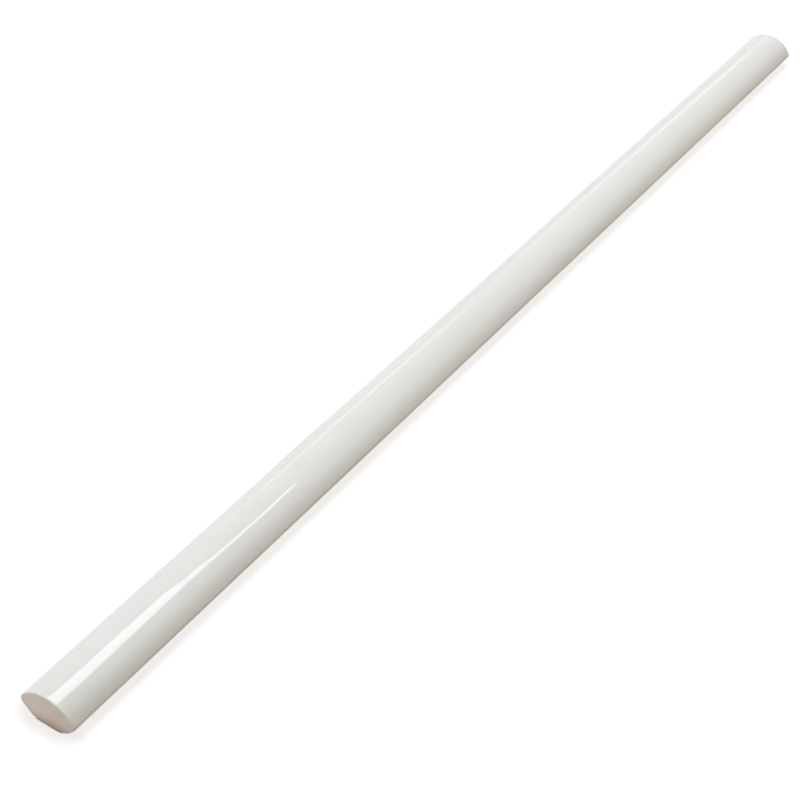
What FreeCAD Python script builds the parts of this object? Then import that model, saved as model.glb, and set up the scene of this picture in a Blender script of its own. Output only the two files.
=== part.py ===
import FreeCAD, Part
import math
import os
import Sketcher

# Slim bullnose trim tile, pressed and fired in one piece, with a glazed round top.
# It lies on its flat back: X runs along the tile, Z is up, and the zero point is
# on the back, under the middle of the tile.

os.makedirs("parts", exist_ok=True)
doc = FreeCAD.newDocument("bullnose_tile")


# Sizes in millimetres: name, value and what it sets

SIZES = [
    ("tile_length", 300.0, "end to end"),
    ("tile_width", 12.0, "across the two side edges, where the tile is widest"),
    ("tile_height", 6.8, "from the flat back to the top of the crown"),
    ("side_overhang", 3.85, "how far each side edge reaches out past the flat back"),
    ("edge_height", 3.1, "how far up the widest point lies, where the round top meets the leg"),
    ("edge_radius", 1.0, "rounding of the two side edges"),
    ("heel_radius", 3.0, "rounding between the back and the slanted legs"),
    ("end_radius", 0.25, "softened rim round each cut end"),
]

sheet = doc.addObject("Spreadsheet::Sheet", "Sizes")
size = {}
for row, (name, value, meaning) in enumerate(SIZES, start=1):
    sheet.set(f"A{row}", name)
    sheet.set(f"B{row}", str(value))
    sheet.set(f"C{row}", meaning)
    sheet.setAlias(f"B{row}", name)
    size[name] = value
doc.recompute()


# Section across the tile, drawn on the plane square to its length.
# Seen from the end: flat back, rounded heels, slanted legs, rounded side edges and
# one wide arc over the top, each running smoothly into the next.

body = doc.addObject("PartDesign::Body", "bullnose_tile")
body.Label = "bullnose_tile"


def origin_plane(role):
    return next(item for item in body.Origin.OriginFeatures if item.Role == role)


section = body.newObject("Sketcher::SketchObject", "Section")
section.AttachmentSupport = [(origin_plane("YZ_Plane"), "")]
section.MapMode = "FlatFace"

# Where each curve starts out, worked from the sizes, so that the outline is drawn
# close to its final form before the constraints pull it true.
half_back = size["tile_width"] / 2 - size["side_overhang"]
half_edge = size["tile_width"] / 2 - size["edge_radius"]
edge_rise = size["edge_height"]
heel = size["heel_radius"]
edge = size["edge_radius"]
rise_above_edge = size["tile_height"] - edge_rise
crown = (half_edge**2 + rise_above_edge**2 - edge**2) / (2 * (rise_above_edge - edge))
crown_base = size["tile_height"] - crown

heel_to_edge = math.hypot(half_edge - half_back, edge_rise - heel)
centre_line_angle = math.atan2(edge_rise - heel, half_edge - half_back)
leg_angle = centre_line_angle + math.asin((heel - edge) / heel_to_edge)
crown_angle = math.atan2(edge_rise - crown_base, half_edge)
down = -math.pi / 2


def arc(y, z, radius, start, end):
    circle = Part.Circle(FreeCAD.Vector(y, z, 0), FreeCAD.Vector(0, 0, 1), radius)
    return section.addGeometry(Part.ArcOfCircle(circle, start, end), False)


def line(start, end):
    return section.addGeometry(Part.LineSegment(start, end), False)


def on_circle(y, z, radius, angle):
    return FreeCAD.Vector(y + radius * math.cos(angle), z + radius * math.sin(angle), 0)


back = line(FreeCAD.Vector(-half_back, 0, 0), FreeCAD.Vector(half_back, 0, 0))
heel_right = arc(half_back, heel, heel, down, down + leg_angle)
leg_right = line(
    on_circle(half_back, heel, heel, down + leg_angle),
    on_circle(half_edge, edge_rise, edge, down + leg_angle),
)
edge_right = arc(half_edge, edge_rise, edge, down + leg_angle, crown_angle)
crown_arc = arc(0, crown_base, crown, crown_angle, math.pi - crown_angle)
edge_left = arc(
    -half_edge, edge_rise, edge, math.pi - crown_angle, down - leg_angle + 2 * math.pi,
)
leg_left = line(
    on_circle(-half_edge, edge_rise, edge, down - leg_angle),
    on_circle(-half_back, heel, heel, down - leg_angle),
)
heel_left = arc(-half_back, heel, heel, down - leg_angle, down)

# The curves meet end to start, all the way round, and each runs on tangent to the last.
START, END, CENTRE = 1, 2, 3
loop = [back, heel_right, leg_right, edge_right, crown_arc, edge_left, leg_left, heel_left]
for this_curve, next_curve in zip(loop, loop[1:] + loop[:1]):
    section.addConstraint(Sketcher.Constraint("Tangent", this_curve, END, next_curve, START))

# Left and right are alike about the upright middle line, and the back lies at the base.
BASE_LINE, MIDDLE_LINE = -1, -2
section.addConstraint(Sketcher.Constraint("Symmetric", back, START, back, END, MIDDLE_LINE))
section.addConstraint(Sketcher.Constraint("PointOnObject", back, START, BASE_LINE))
section.addConstraint(
    Sketcher.Constraint("Symmetric", edge_left, CENTRE, edge_right, CENTRE, MIDDLE_LINE)
)
section.addConstraint(Sketcher.Constraint("Equal", heel_right, heel_left))
section.addConstraint(Sketcher.Constraint("Equal", edge_right, edge_left))

# The top of the crown, a point on both the arc and the middle line.
top = section.addGeometry(Part.Point(FreeCAD.Vector(0, size["tile_height"], 0)), True)
section.addConstraint(Sketcher.Constraint("PointOnObject", top, START, crown_arc))
section.addConstraint(Sketcher.Constraint("PointOnObject", top, START, MIDDLE_LINE))


def dimension(name, expression, kind, *geometry):
    index = section.addConstraint(Sketcher.Constraint(kind, *geometry))
    section.renameConstraint(index, name)
    section.setExpression(f"Constraints.{name}", expression)


dimension(
    "back", "Sizes.tile_width - 2 * Sizes.side_overhang",
    "DistanceX", back, START, back, END, 2 * half_back,
)
dimension("heel", "Sizes.heel_radius", "Radius", heel_right, heel)
dimension("edge", "Sizes.edge_radius", "Radius", edge_right, edge)
dimension(
    "between_edges", "Sizes.tile_width - 2 * Sizes.edge_radius",
    "DistanceX", edge_left, CENTRE, edge_right, CENTRE, 2 * half_edge,
)
dimension(
    "edge_rise", "Sizes.edge_height", "DistanceY", back, END, edge_right, CENTRE, edge_rise,
)
dimension("top", "Sizes.tile_height", "DistanceY", -1, 1, top, START, size["tile_height"])
doc.recompute()


# Length of the tile, half to each side of its middle

bar = body.newObject("PartDesign::Pad", "Bar")
bar.Profile = section
bar.SideType = "Symmetric"
bar.setExpression("Length", "Sizes.tile_length")
section.Visibility = False
doc.recompute()


# Rim round each end, softened all the way round the section

SAME_PLACE = 1e-6


def rim_edges(shape):
    """Names of the edges that lie in one of the two end faces."""
    ends = (shape.BoundBox.XMin, shape.BoundBox.XMax)
    names = []
    for number, candidate in enumerate(shape.Edges, start=1):
        reach = (candidate.BoundBox.XMin, candidate.BoundBox.XMax)
        if any(max(abs(x - end) for x in reach) < SAME_PLACE for end in ends):
            names.append(f"Edge{number}")
    return names


rims = body.newObject("PartDesign::Fillet", "EndRims")
rims.Base = (bar, rim_edges(bar.Shape))
rims.setExpression("Radius", "Sizes.end_radius")
body.Tip = rims
doc.recompute()


# Checks, then the file of the one piece

for item in doc.Objects:
    if "Invalid" in item.State or "Error" in item.State:
        raise RuntimeError(f"{item.Name} did not build: {item.State}")
if not section.FullyConstrained:
    raise RuntimeError("the section is not held by its sizes alone")
if body.Shape.isNull() or not body.Shape.isValid() or len(body.Shape.Solids) != 1:
    raise RuntimeError(f"{body.Label} is not one sound solid")

body.Shape.exportStep(f"parts/{body.Label}.step")
print(body.Label, "volume in cubic mm:", round(body.Shape.Volume, 1))
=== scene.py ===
import math
import bpy
import numpy as np
from mathutils import Matrix, Quaternion, Vector


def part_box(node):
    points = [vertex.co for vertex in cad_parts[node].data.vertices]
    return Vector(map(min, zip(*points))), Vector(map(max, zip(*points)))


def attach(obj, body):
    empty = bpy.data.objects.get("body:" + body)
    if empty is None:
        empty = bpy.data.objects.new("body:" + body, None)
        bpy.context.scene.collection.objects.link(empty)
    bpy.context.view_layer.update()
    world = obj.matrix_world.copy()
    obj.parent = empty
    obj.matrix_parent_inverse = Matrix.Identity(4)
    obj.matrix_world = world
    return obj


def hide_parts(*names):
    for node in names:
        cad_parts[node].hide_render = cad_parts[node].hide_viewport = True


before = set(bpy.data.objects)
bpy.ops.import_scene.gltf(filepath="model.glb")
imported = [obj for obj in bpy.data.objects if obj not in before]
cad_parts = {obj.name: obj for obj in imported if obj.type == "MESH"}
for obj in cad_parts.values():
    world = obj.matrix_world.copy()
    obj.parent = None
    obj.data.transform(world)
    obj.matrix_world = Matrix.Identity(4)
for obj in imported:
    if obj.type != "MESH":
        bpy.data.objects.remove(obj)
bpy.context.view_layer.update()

# The tile lies on its flat back on the floor, with X along it and Z up. Sizes of the tile
# and of its waves are in millimetres, and the mesh made from them is in metres. Places in
# materials, and those of lamps and camera, are in metres.

NODE = "bullnose_tile"
MM = 0.001
QUARTER_TURN = math.pi / 2
WHITE = (1.0, 1.0, 1.0)

low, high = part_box(NODE)
LENGTH = (high[0] - low[0]) / MM
HALF_WIDTH = (high[1] - low[1]) / MM / 2
HEIGHT = (high[2] - low[2]) / MM
END_RADIUS = 0.25
END_X = LENGTH * MM / 2


def ease(value):
    """From 0 to 1 with a soft start and end."""
    value = np.clip(value, 0.0, 1.0)
    return value * value * (3 - 2 * value)


def bell(value, middle, reach):
    """1 at the middle, and falling to nothing on both sides."""
    return math.exp(-(((value - middle) / reach) ** 2))


def show(name, data):
    """A new object in the scene."""
    new = bpy.data.objects.new(name, data)
    bpy.context.scene.collection.objects.link(new)
    return new


# Section across the tile: flat back, rounded heels, slanted legs, side edges and crown

# The fired tile has settled a little towards its back. Its flat reaches further out on that
# side, with a tighter heel, and the front heel is rounder.
BACK_SIDE = {"flat": 3.1, "heel_radius": 0.5, "edge_height": 2.93, "edge_radius": 1.6}
FRONT_SIDE = {"flat": 2.0, "heel_radius": 3.9, "edge_height": 3.03, "edge_radius": 1.0}
FLAT_STEPS = 4
HEEL_STEPS = 9
LEG_STEPS = 4
EDGE_STEPS = 12
CROWN_STEPS = 32


def arc(centre, radius, start, end, steps):
    """Points on an arc with the way that the surface faces there, first point left out."""
    turns = np.linspace(start, end, steps + 1)[1:]
    outward = np.stack([np.cos(turns), np.sin(turns)], axis=1)
    return np.array(centre) + radius * outward, outward


def straight(start, end, outward, steps):
    """Points on a line, first point left out."""
    share = np.linspace(0.0, 1.0, steps + 1)[1:, None]
    return start + share * (end - start), np.tile(outward, (steps, 1))


def half_outline(flat, heel_radius, edge_height, edge_radius):
    """Half of the section, from the middle of the back to the top: places and facings."""
    edge_y = HALF_WIDTH - edge_radius
    rise = HEIGHT - edge_height
    crown_radius = (edge_y**2 + rise**2 - edge_radius**2) / (2 * (rise - edge_radius))
    crown_base = HEIGHT - crown_radius
    crown_start = math.atan2(edge_height - crown_base, edge_y)
    across, up = edge_y - flat, edge_height - heel_radius
    lean = math.atan2(up, across) + math.asin((heel_radius - edge_radius) / math.hypot(across, up))
    leg = lean - QUARTER_TURN
    outward = np.array([math.cos(leg), math.sin(leg)])
    below = np.array([0.0, -1.0])
    middle = np.array([0.0, 0.0])
    heel = np.array([flat, heel_radius])
    edge = np.array([edge_y, edge_height])
    runs = [
        (middle[None], below[None]),
        straight(middle, np.array([flat, 0.0]), below, FLAT_STEPS),
        arc(heel, heel_radius, -QUARTER_TURN, leg, HEEL_STEPS),
        straight(heel + heel_radius * outward, edge + edge_radius * outward, outward, LEG_STEPS),
        arc(edge, edge_radius, leg, crown_start, EDGE_STEPS),
        arc((0.0, crown_base), crown_radius, crown_start, QUARTER_TURN, CROWN_STEPS),
    ]
    places, facings = zip(*runs)
    return np.concatenate(places), np.concatenate(facings)


def whole_outline():
    """The section once round: places, facings, and the way from the top along the surface."""
    back_place, back_facing = half_outline(**BACK_SIDE)
    front_place, front_facing = half_outline(**FRONT_SIDE)
    mirror = np.array([-1.0, 1.0])
    places = np.concatenate([back_place, front_place[-2:0:-1] * mirror])
    facings = np.concatenate([back_facing, front_facing[-2:0:-1] * mirror])
    steps = np.linalg.norm(np.roll(places, -1, axis=0) - places, axis=1)
    girth = np.concatenate([[0.0], np.cumsum(steps)[:-1]])
    return places, facings, girth - girth[len(back_place) - 1]


place, facing, from_top = whole_outline()
ring_y, ring_z = place.T
RING = len(place)


# Low ripples of the glaze and of the fired body

RIPPLE_SEED = 11
LONG_DEPTH = 0.010
GLAZE_DEPTH = 0.030
FINE_DEPTH = 0.012
BODY_DEPTH = 0.007
LONG_LEVEL = 0.5
GLAZE_LEVEL = 0.4
LONG_ON_CLAY = 0.3
WAVE_SIZES = (0.6, 1.0)

rng = np.random.default_rng(RIPPLE_SEED)


def ripples(count, along, across):
    """A sum of waves, from -1 to 1. along and across are the shortest and longest wave."""
    waves = []
    for _ in range(count):
        length = rng.uniform(*along) * rng.choice([-1.0, 1.0])
        width = rng.uniform(*across)
        lag = rng.uniform(0, 2 * math.pi)
        size = rng.uniform(*WAVE_SIZES)
        waves.append((1 / length, 1 / width, lag, size))
    total = sum(size for *_, size in waves)

    def height(x, u):
        heights = [
            size * np.sin(2 * math.pi * (x * per_x + u * per_u) + lag)
            for per_x, per_u, lag, size in waves
        ]
        return sum(heights) / total

    return height


long_ripple = ripples(7, (45.0, 160.0), (30.0, 90.0))
glaze_ripple = ripples(9, (22.0, 90.0), (9.0, 24.0))
fine_ripple = ripples(9, (5.0, 16.0), (4.0, 9.0))
body_ripple = ripples(16, (0.9, 4.0), (0.9, 4.0))
line_ripple = ripples(14, (2.5, 24.0), (500.0, 900.0))
rim_ripple = ripples(10, (500.0, 900.0), (1.5, 7.0))
end_ripple = ripples(14, (0.7, 3.5), (0.7, 3.5))


# Glaze: it covers the crown, runs out over the side edges, and thins away round both end
# faces. On the front, the -Y side, it stops higher than at the back, and higher still near
# the ends, which leaves a small bare corner at the near end.

FRONT_LINE, BACK_LINE = 3.55, 3.00
NEAR_RISE, FAR_RISE = 0.8, 0.15
RISE_REACH = 2.8
LINE_WANDER = 0.26
LINE_APART = 300.0
LINE_FADE = 0.7
LINE_SOFTENING = 1.6
RIM_GAP = -0.02
RIM_WANDER = 0.12
RIM_WRAP = 0.15
WRAP_FROM, WRAP_RUN = 1.5, 2.5
FRONT_FROM, FRONT_RUN = 1.8, 3.0
RIM_FADE = 0.38
FRONT_FADE = 0.9
THIN_FROM = 6.1
THIN_DEPTH = 2.5


def cover(x, from_end):
    """How much glaze lies on the ring at x: 1 on the crown, 0 on legs, back and ends."""
    near = bell(from_end, 0.0, RISE_REACH)
    rise = (NEAR_RISE if x < 0 else FAR_RISE) * near
    line = np.where(ring_y < 0, FRONT_LINE + rise, BACK_LINE)
    line = line + LINE_WANDER * line_ripple(x, np.sign(ring_y) * LINE_APART)
    on_side = ease((ring_z - line) / (LINE_FADE * (1 + LINE_SOFTENING * near)) + 0.5)
    in_front = ease((-ring_y - FRONT_FROM) / FRONT_RUN) if x < 0 else 0.0
    wrapped = RIM_WRAP * (ease((WRAP_FROM - ring_y) / WRAP_RUN) + in_front)
    gap = RIM_GAP + RIM_WANDER * rim_ripple(x, from_top) - wrapped
    return on_side * ease((from_end - gap) / (RIM_FADE + FRONT_FADE * in_front))


thin = ease((THIN_FROM - ring_z) / THIN_DEPTH)
warm = np.where(ring_y < 0, thin, 0.0)


# The tile, swept along its length. Its glaze has a dip in the back edge near the middle and
# a swell on the back shoulder, a quarter of the way along. Its flat back stays flat.

SPACING = 0.68
RIM_SPACING = 0.16
RIM_REACH = 3.2
RIM_STEPS = 5
CAP_RINGS = 10
CAP_MIDDLE = np.array([0.0, HEIGHT * 0.46])
CAP_OPENING = 0.35
CAP_POWER = 0.9
END_DIP = 0.035
END_DIP_START = 5
BARE_INSET = 0.015
DIP_DEPTH, DIP_X, DIP_REACH = 0.14, 2.0, 27.0
SWELL_HEIGHT, SWELL_X, SWELL_REACH = 0.19, -66.0, 15.0
SHOULDER_OUT, SHOULDER_UP, SHOULDER_RUN = 0.35, 0.3, 0.4
BACK_TOP, BACK_RUN = 0.02, 0.9

straight_half = LENGTH / 2 - END_RADIUS
facing_out, facing_up = facing.T
on_back_side = np.clip(facing_out, 0.0, 1.0) ** 2
shoulder = ease((facing_up - SHOULDER_UP) / SHOULDER_RUN) * ease((facing_out - SHOULDER_OUT) / SHOULDER_RUN)
above_back = ease((ring_z - BACK_TOP) / BACK_RUN)


def ring(x, turn=0.0):
    """One ring of the tile, and its glaze. turn goes to a quarter turn over the rim of an end."""
    from_end = straight_half - min(abs(x), straight_half) + END_RADIUS * (QUARTER_TURN - turn)
    glazed = cover(x, from_end)
    inset = BARE_INSET * (1 - glazed)
    long_share = LONG_ON_CLAY + (1 - LONG_ON_CLAY) * glazed
    inset = inset + LONG_DEPTH * (LONG_LEVEL + long_ripple(x, from_top)) * long_share
    inset = inset + GLAZE_DEPTH * (GLAZE_LEVEL + glaze_ripple(x, from_top)) * glazed
    inset = inset + FINE_DEPTH * (GLAZE_LEVEL + fine_ripple(x, from_top)) * glazed
    inset = inset + BODY_DEPTH * (1 + body_ripple(x, from_top)) * (1 - glazed)
    inset = inset + DIP_DEPTH * bell(x, DIP_X, DIP_REACH) * on_back_side
    inset = np.maximum(inset, 0.0) * above_back
    inset = inset - SWELL_HEIGHT * bell(x, SWELL_X, SWELL_REACH) * shoulder
    inset = inset + END_RADIUS * (1 - math.cos(turn))
    return place - facing * inset[:, None], glazed


def end_rows(sign):
    """Rounded rim and face of one end, from the outer ring in to a small ring at its middle."""
    found = []
    for step in range(1, RIM_STEPS + 1):
        turn = step / RIM_STEPS * QUARTER_TURN
        x = sign * (straight_half + END_RADIUS * math.sin(turn))
        found.append((x, *ring(x, turn)))
    outer = found[-1][1]
    for step in range(1, CAP_RINGS + 1):
        share = (step / (CAP_RINGS + CAP_OPENING)) ** CAP_POWER
        spot = CAP_MIDDLE + (outer - CAP_MIDDLE) * (1 - share)
        dip = END_DIP * (1 + end_ripple(*spot.T)) * ease(share * END_DIP_START)
        found.append((sign * (LENGTH / 2 - dip), spot, np.zeros(RING)))
    return found


def side_rows():
    """Rings from one rim to the other, closer together near the ends."""
    by_rim = np.arange(0.0, RIM_REACH, RIM_SPACING)
    far_out = straight_half - RIM_REACH
    count = round(2 * far_out / SPACING) + 1
    stations = [by_rim - straight_half, np.linspace(-far_out, far_out, count), straight_half - by_rim[::-1]]
    return [(x, *ring(x)) for x in np.concatenate(stations)]


def tile_mesh():
    """The skin of the whole tile, with the cover of glaze stored on its points."""
    rows = end_rows(-1)[::-1] + side_rows() + end_rows(1)
    points = [np.column_stack([np.broadcast_to(x, RING), spot]) for x, spot, _ in rows]
    faces = []
    for row in range(len(rows) - 1):
        first, second = row * RING, (row + 1) * RING
        for step in range(RING):
            following = (step + 1) % RING
            faces.append((first + step, first + following, second + following, second + step))
    faces.append(tuple(range(RING - 1, -1, -1)))
    faces.append(tuple(range((len(rows) - 1) * RING, len(rows) * RING)))
    mesh = bpy.data.meshes.new("fired_tile")
    mesh.from_pydata((np.concatenate(points) * MM).tolist(), [], faces)
    mesh.validate()
    layers = {
        "glaze_cover": np.concatenate([glazed for *_, glazed in rows]),
        "glaze_thin": np.tile(thin, len(rows)),
        "glaze_warm": np.tile(warm, len(rows)),
    }
    for name, values in layers.items():
        layer = mesh.attributes.new(name, "FLOAT", "POINT")
        layer.data.foreach_set("value", values.astype(np.float32))
    mesh.polygons.foreach_set("use_smooth", np.ones(len(mesh.polygons), dtype=bool))
    mesh.update()
    return mesh


# Nodes of the materials

def new_material(name):
    material = bpy.data.materials.new(name)
    material.use_nodes = True
    material.node_tree.nodes.clear()
    return material, material.node_tree


def add(tree, kind, **values):
    """A node with values for its inputs or its settings."""
    node = tree.nodes.new(kind)
    for key, value in values.items():
        if key in node.inputs:
            node.inputs[key].default_value = value
        else:
            setattr(node, key, value)
    return node


def feed(tree, node, sockets):
    """Link each named input of the node to a socket."""
    for name, socket in sockets.items():
        tree.links.new(socket, node.inputs[name])


def combine(tree, operation, first, second):
    """A sum, product or the like of two values; each is a socket or a number."""
    node = add(tree, "ShaderNodeMath", operation=operation)
    for value, socket in zip((first, second), node.inputs):
        if isinstance(value, float):
            socket.default_value = value
        else:
            tree.links.new(value, socket)
    return node.outputs[0]


def noise(tree, where, scale, detail=3.0, roughness=0.5):
    node = add(tree, "ShaderNodeTexNoise", Scale=scale, Detail=detail, Roughness=roughness)
    feed(tree, node, {"Vector": where})
    return node.outputs["Fac"]


def remap(tree, value, from_low, from_high, to_low, to_high):
    """A value taken from one range to another and held inside it; an end is a socket or a number."""
    node = tree.nodes.new("ShaderNodeMapRange")
    ends = {"From Min": from_low, "From Max": from_high, "To Min": to_low, "To Max": to_high}
    for name, end in ends.items():
        if isinstance(end, float):
            node.inputs[name].default_value = end
        else:
            tree.links.new(end, node.inputs[name])
    feed(tree, node, {"Value": value})
    return node.outputs["Result"]


def blend(tree, share, first, second):
    """Colour between first and second; each is a socket or a plain colour."""
    node = tree.nodes.new("ShaderNodeMix")
    node.data_type = "RGBA"
    tree.links.new(share, node.inputs["Factor"])
    for value, socket in ((first, node.inputs[6]), (second, node.inputs[7])):
        if isinstance(value, tuple):
            socket.default_value = (*value, 1.0)
        else:
            tree.links.new(value, socket)
    return node.outputs[2]


def bump(tree, height, strength, distance, base=None):
    node = add(tree, "ShaderNodeBump", Strength=strength, Distance=distance)
    feed(tree, node, {"Height": height})
    if base is not None:
        feed(tree, node, {"Normal": base})
    return node.outputs["Normal"]


def point_value(tree, name):
    """A value stored on the points of the mesh."""
    return add(tree, "ShaderNodeAttribute", attribute_name=name).outputs["Fac"]


def split_place(tree):
    """The place on the object, then its X, Y and Z."""
    where = tree.nodes.new("ShaderNodeTexCoord").outputs["Object"]
    split = tree.nodes.new("ShaderNodeSeparateXYZ")
    tree.links.new(where, split.inputs[0])
    return where, *split.outputs


def put_on(tree, shader):
    """Make the shader the surface of the material."""
    feed(tree, tree.nodes.new("ShaderNodeOutputMaterial"), {"Surface": shader})


# Fired ceramic: bare clay below and on the ends, white glaze above

CLAY_DARK = (0.79, 0.672, 0.588)
CLAY_LIGHT = (0.845, 0.730, 0.642)
CLAY_GRAIN = (0.90, 0.80, 0.72)
CLAY_SPECK = (0.55, 0.45, 0.38)
CLAY_IN_FRONT = (0.71, 0.628, 0.55)
# The next three colours are painted shade near the floor.
CLAY_LOW_SHADE = (0.60, 0.50, 0.43)
CLAY_CONTACT_SHADE = (0.36, 0.29, 0.245)
CLAY_FOOT_SHADE = (0.56, 0.34, 0.24)
CLAY_ROUGHNESS = 0.9
CLAY_SPECULAR = 0.25
CLOUD_SCALE = 260.0
GRAIN_SCALE = 3200.0
SPECK_SCALE = 7000.0

GLAZE_DIM = (0.800, 0.800, 0.779)
GLAZE_BRIGHT = (0.826, 0.826, 0.807)
GLAZE_FAR = (0.785, 0.791, 0.740)
# Painted shade for the back side towards the far end.
GLAZE_BEHIND_SHADE = (0.755, 0.758, 0.765)
GLAZE_THIN = (0.785, 0.787, 0.792)
GLAZE_WARM = (0.79, 0.71, 0.61)
GLAZE_EDGE = (0.83, 0.77, 0.68)
# Painted shade in front by the near end.
GLAZE_NEAR_SHADE = (0.66, 0.65, 0.55)
GLAZE_IOR = 1.5
MOTTLE_SCALE = 55.0
GLOSS_SCALE = 900.0
PEEL_SCALE = 300.0
FRAY_SCALE = 1500.0


def bare_clay(tree, where, x, y, z):
    """Fine pinkish clay with light grains and dark specks. On the ends it is greyer in front. Painted
    shade darkens it low down, browner on the ends except at the back, and darkest at the foot."""
    cloud = noise(tree, where, CLOUD_SCALE, 3.0)
    grain = noise(tree, where, GRAIN_SCALE, 4.0, 0.65)
    speck = noise(tree, where, SPECK_SCALE, 2.0)
    clay = blend(tree, remap(tree, cloud, 0.35, 0.65, 0.0, 1.0), CLAY_DARK, CLAY_LIGHT)
    clay = blend(tree, remap(tree, grain, 0.30, 0.75, 0.0, 0.45), clay, CLAY_GRAIN)
    clay = blend(tree, remap(tree, speck, 0.66, 0.74, 0.0, 0.35), clay, CLAY_SPECK)
    from_middle = combine(tree, "ABSOLUTE", x, 0.0)
    on_end = remap(tree, from_middle, END_X - 0.0008, END_X - 0.0002, 0.0, 1.0)
    in_front = combine(tree, "MULTIPLY", on_end, remap(tree, y, -0.005, 0.002, 0.75, 0.0))
    clay = blend(tree, in_front, clay, CLAY_IN_FRONT)
    # Painted shade: the clay is darker low down, near the floor.
    clay = blend(tree, remap(tree, z, 0.0, 0.0018, 0.45, 0.0), clay, CLAY_LOW_SHADE)
    # Painted contact shade at the foot, stronger in front, and again at the front foot of the ends.
    lowest = remap(tree, z, 0.0, 0.0012, 0.7, 0.0)
    contact_shade = combine(tree, "MULTIPLY", lowest, remap(tree, y, -0.004, 0.003, 0.8, 0.58))
    clay = blend(tree, contact_shade, clay, CLAY_CONTACT_SHADE)
    front_contact_shade = combine(tree, "MULTIPLY", in_front, remap(tree, z, 0.0, 0.0017, 0.8, 0.0))
    clay = blend(tree, front_contact_shade, clay, CLAY_CONTACT_SHADE)
    # Painted shade: browner low down on the ends, except at the back.
    foot = combine(tree, "MULTIPLY", on_end, remap(tree, y, -0.0007, 0.003, 1.0, 0.0))
    browner_foot_shade = combine(tree, "MULTIPLY", foot, remap(tree, z, 0.0, 0.0034, 0.5, 0.0))
    clay = blend(tree, browner_foot_shade, clay, CLAY_FOOT_SHADE)
    skin = bump(tree, grain, 0.45, 0.0001)
    skin = bump(tree, speck, 0.30, 0.00004, skin)
    bisque = add(tree, "ShaderNodeBsdfPrincipled", Roughness=CLAY_ROUGHNESS)
    bisque.inputs["Specular IOR Level"].default_value = CLAY_SPECULAR
    feed(tree, bisque, {"Base Color": clay, "Normal": skin})
    return bisque.outputs[0]


def white_glaze(tree, where, x, y, covered):
    """Even, glossy glaze. Where it runs thin over the side edges it is duller, warmer in front
    and cooler at the back. It is greener towards the far end. Painted shade makes it a little
    greyer on its back side towards the far end, and darker in front by the near end."""
    mottle = noise(tree, where, MOTTLE_SCALE, 2.0)
    thinned = point_value(tree, "glaze_thin")
    warmed = point_value(tree, "glaze_warm")
    milk = blend(tree, remap(tree, mottle, 0.3, 0.7, 0.0, 1.0), GLAZE_DIM, GLAZE_BRIGHT)
    milk = blend(tree, remap(tree, x, -0.12, 0.03, 0.0, 0.5), milk, GLAZE_FAR)
    far_along = remap(tree, x, -0.045, 0.03, 0.0, 1.0)
    # Painted shade: a little greyer on the back side towards the far end.
    behind_shade = combine(tree, "MULTIPLY", remap(tree, y, 0.0018, 0.0036, 0.0, 1.0), far_along)
    milk = blend(tree, behind_shade, milk, GLAZE_BEHIND_SHADE)
    milk = blend(tree, remap(tree, thinned, 0.0, 1.0, 0.0, 0.8), milk, GLAZE_THIN)
    milk = blend(tree, remap(tree, warmed, 0.0, 1.0, 0.0, 0.8), milk, GLAZE_WARM)
    milk = blend(tree, remap(tree, covered, 0.5, 1.0, 0.7, 0.0), milk, GLAZE_EDGE)
    # Painted shade: the glaze is darker in front by the near end.
    near_end = remap(tree, x, -0.149, -0.120, 1.0, 0.0)
    near_front_shade = combine(tree, "MULTIPLY", near_end, remap(tree, y, -0.0045, -0.001, 0.33, 0.0))
    milk = blend(tree, near_front_shade, milk, GLAZE_NEAR_SHADE)
    gloss = remap(tree, noise(tree, where, GLOSS_SCALE, 3.0), 0.3, 0.7, 0.03, 0.055)
    orange_peel = bump(tree, noise(tree, where, PEEL_SCALE, 1.0), 0.02, 0.0003)
    dulled = remap(tree, thinned, 0.04, 0.35, 0.5, 0.12)
    shine = combine(tree, "SUBTRACT", dulled, remap(tree, warmed, 0.4, 1.0, 0.0, -0.14))
    glaze = add(tree, "ShaderNodeBsdfPrincipled", IOR=GLAZE_IOR)
    feed(tree, glaze, {"Base Color": milk, "Roughness": gloss, "Specular IOR Level": shine})
    feed(tree, glaze, {"Normal": orange_peel})
    return glaze.outputs[0]


def fired_ceramic():
    """Clay and glaze, with a frayed edge between them."""
    material, tree = new_material("fired_ceramic")
    where, x, y, z = split_place(tree)
    covered = point_value(tree, "glaze_cover")
    clay = bare_clay(tree, where, x, y, z)
    glaze = white_glaze(tree, where, x, y, covered)
    fray = remap(tree, noise(tree, where, FRAY_SCALE, 3.0), 0.3, 0.7, -0.15, 0.15)
    frayed = combine(tree, "ADD", covered, fray)
    mixed = tree.nodes.new("ShaderNodeMixShader")
    feed(tree, mixed, {"Fac": remap(tree, frayed, 0.3, 0.7, 0.0, 1.0)})
    tree.links.new(clay, mixed.inputs[1])
    tree.links.new(glaze, mixed.inputs[2])
    put_on(tree, mixed.outputs[0])
    return material


tile = show("fired_tile", tile_mesh())
tile.data.materials.append(fired_ceramic())
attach(tile, "root")
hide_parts(NODE)


# Floor. It looks white where it lies open. A faint warm shadow round the tile, a wider one in
# front of the near end, and a dark contact shadow where the tile touches it are painted into its glow.

FLOOR_HALF = 3.0
FLOOR_COLOUR = (0.56, 0.55, 0.535)
FLOOR_SEEN = (0.14, 0.137, 0.133)
FLOOR_LIFT = 0.925
# Painted contact shadow where the tile touches the floor.
CONTACT_SHADOW_COLOUR = (0.075, 0.06, 0.048)
SIDE_SHADE = (0.885, 0.868, 0.85)
END_SHADE = (0.803, 0.795, 0.779)
TURN_REACH = 0.0025


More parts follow.
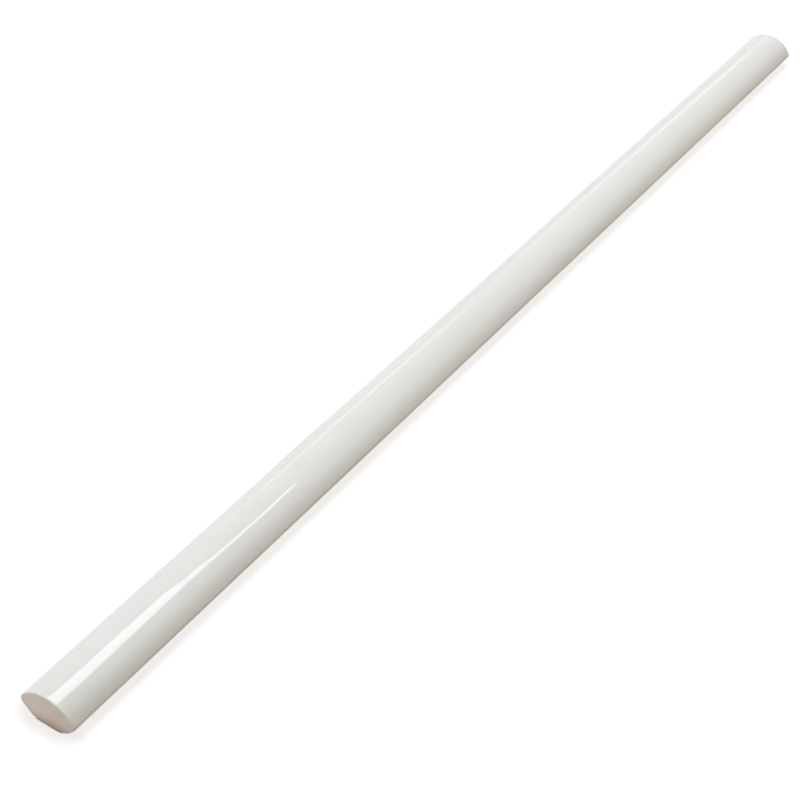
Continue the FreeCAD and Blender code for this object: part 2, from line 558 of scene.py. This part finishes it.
def seen(tree):
    """1 for rays from the camera and for those mirrored or let through, else 0."""
    path = tree.nodes.new("ShaderNodeLightPath")
    total = path.outputs["Is Camera Ray"]
    for name in ("Is Glossy Ray", "Is Transmission Ray"):
        total = combine(tree, "MAXIMUM", total, path.outputs[name])
    return total


def before_end(tree, x, beside, before):
    """A value for the floor beside the tile that turns into another in front of its near end."""
    return remap(tree, x, -END_X - TURN_REACH, -END_X + TURN_REACH, before, beside)


def openness(tree, distance):
    """How open the floor lies to what is within a distance: 1 in the open, 0 under the tile."""
    node = tree.nodes.new("ShaderNodeAmbientOcclusion")
    feed(tree, node, {"Distance": distance})
    return node.outputs["AO"]


def soft_shadow(tree, x, y):
    """Colour of the open floor and of the faint shadow round the tile."""
    hidden = remap(tree, openness(tree, before_end(tree, x, 0.0026, 0.005)), 0.0, 1.0, 1.0, 0.0)
    hidden = combine(tree, "MULTIPLY", hidden, remap(tree, y, 0.0, 0.006, 1.0, 1.18))
    least = before_end(tree, x, 0.02, 0.13)
    most = before_end(tree, x, 0.38, 0.31)
    shade = blend(tree, before_end(tree, x, 0.0, 1.0), SIDE_SHADE, END_SHADE)
    return blend(tree, remap(tree, hidden, least, most, 0.0, 1.0), WHITE, shade)


def clear_of_contact_shadow(tree, x, y):
    """0 on the painted contact shadow where the tile touches the floor, else 1."""
    past_end = remap(tree, x, -END_X + 0.0005, -END_X + 0.0012, 1.0, 0.0)
    free = combine(tree, "MULTIPLY", past_end, remap(tree, y, 0.0021, 0.0029, 0.0, 1.0))
    reach = remap(tree, y, -0.003, 0.0012, 0.00026, 0.00054)
    return combine(tree, "MAXIMUM", free, remap(tree, openness(tree, reach), 0.42, 0.92, 0.0, 1.0))


def pale_floor():
    material, tree = new_material("pale_floor")
    _, x, y, _ = split_place(tree)
    shown = seen(tree)
    matte = add(tree, "ShaderNodeBsdfDiffuse")
    feed(tree, matte, {"Color": blend(tree, shown, FLOOR_COLOUR, FLOOR_SEEN)})
    # Painted contact shadow laid over the painted soft shadow round the tile.
    colour = blend(tree, clear_of_contact_shadow(tree, x, y), CONTACT_SHADOW_COLOUR, soft_shadow(tree, x, y))
    glow = tree.nodes.new("ShaderNodeEmission")
    feed(tree, glow, {"Color": colour, "Strength": combine(tree, "MULTIPLY", shown, FLOOR_LIFT)})
    both = tree.nodes.new("ShaderNodeAddShader")
    tree.links.new(matte.outputs[0], both.inputs[0])
    tree.links.new(glow.outputs[0], both.inputs[1])
    put_on(tree, both.outputs[0])
    return material


def level_panel(name, height, corners, material):
    """A flat level mesh that isn't part of the object."""
    mesh = bpy.data.meshes.new(name)
    mesh.from_pydata([(x, y, height) for x, y in corners], [], [tuple(range(len(corners)))])
    mesh.materials.append(material)
    show(name, mesh)


SQUARE = [(-1, -1), (1, -1), (1, 1), (-1, 1)]
level_panel("floor", 0.0, [(FLOOR_HALF * x, FLOOR_HALF * y) for x, y in SQUARE], pale_floor())


# World and lamps

SKY = 0.44
SEEN_SKY = 0.94

# Outline of the bright panel over the tile, whose image is the broad light on the crown.
PANEL_HEIGHT = 0.60
PANEL_RADIANCE = 5.7
PANEL = [
    (0.100, -0.045), (0.190, -0.046), (0.235, -0.041), (0.262, -0.012), (0.290, -0.003), (0.336, -0.066),
    (0.386, -0.064), (0.380, 0.015), (0.345, 0.007), (0.318, 0.052), (0.304, 0.110), (0.299, 0.180),
    (0.301, 0.275), (0.222, 0.303), (0.232, 0.400), (0.100, 0.460),
]
KEY_PLACE = (-0.65, 0.39, 1.04)
KEY_SIZE = 0.70
KEY_RADIANCE = 3.7

# Ends, width and radiance of the two thin lamps, whose images are the thin lines on the crown.
STRIPS = {
    "strip_near": ((0.860, 1.231, 0.426), (1.142, 0.883, 0.685), 0.105, 1.33),
    "strip_far": ((1.183, 1.018, 0.335), (1.510, 0.629, 0.625), 0.11, 1.05),
}


def sky():
    """An even sky that looks brighter than the light it gives."""
    world = bpy.data.worlds.new("studio")
    world.use_nodes = True
    bpy.context.scene.world = world
    tree = world.node_tree
    background = next(node for node in tree.nodes if node.type == "BACKGROUND")
    background.inputs["Color"].default_value = (*WHITE, 1.0)
    feed(tree, background, {"Strength": remap(tree, seen(tree), 0.0, 1.0, SKY, SEEN_SKY)})


def bright(name, radiance):
    """A material that only shines."""
    material, tree = new_material(name)
    shine = add(tree, "ShaderNodeEmission", Color=(*WHITE, 1.0), Strength=radiance)
    put_on(tree, shine.outputs[0])
    return material


def softbox(name, centre, along, width, height, radiance):
    """A flat lamp that faces the tile. along is the way its width runs, and radiance is how
    bright its face looks."""
    data = bpy.data.lights.new(name, "AREA")
    data.shape = "RECTANGLE"
    data.size = width
    data.size_y = height
    data.energy = radiance * width * height * math.pi
    side = Vector(along).normalized()
    back = Vector(centre) - Vector(centre).dot(side) * side
    back.normalize()
    turned = Matrix((side, back.cross(side), back)).transposed()
    show(name, data).matrix_world = Matrix.Translation(centre) @ turned.to_4x4()


def strip(name, start, end, width, radiance):
    """A long thin lamp between two points."""
    run = Vector(end) - Vector(start)
    softbox(name, (Vector(start) + Vector(end)) / 2, run, run.length, width, radiance)


sky()
level_panel("overhead", PANEL_HEIGHT, PANEL, bright("overhead", PANEL_RADIANCE))
softbox("key", KEY_PLACE, (0.0, 1.0, 0.0), KEY_SIZE, KEY_SIZE, KEY_RADIANCE)
for name, values in STRIPS.items():
    strip(name, *values)


# Camera

CAMERA_PLACE = Vector((-0.30382, -0.13987, 0.25507))
CAMERA_AIM = Vector((-0.03947, -0.00040, 0.0))
CAMERA_ROLL = math.radians(8.003)
CAMERA_LENS = 83.947
SENSOR_WIDTH = 36.0
CLIP_START, CLIP_END = 0.01, 20.0


def set_camera():
    data = bpy.data.cameras.new("camera")
    data.lens = CAMERA_LENS
    data.sensor_width = SENSOR_WIDTH
    data.clip_start = CLIP_START
    data.clip_end = CLIP_END
    camera = show("camera", data)
    camera.location = CAMERA_PLACE
    camera.rotation_mode = "QUATERNION"
    aim = (CAMERA_AIM - CAMERA_PLACE).to_track_quat("-Z", "Y")
    camera.rotation_quaternion = aim @ Quaternion((0.0, 0.0, 1.0), CAMERA_ROLL)
    bpy.context.scene.camera = camera


set_camera()
bpy.context.scene.view_settings.view_transform = "Standard"
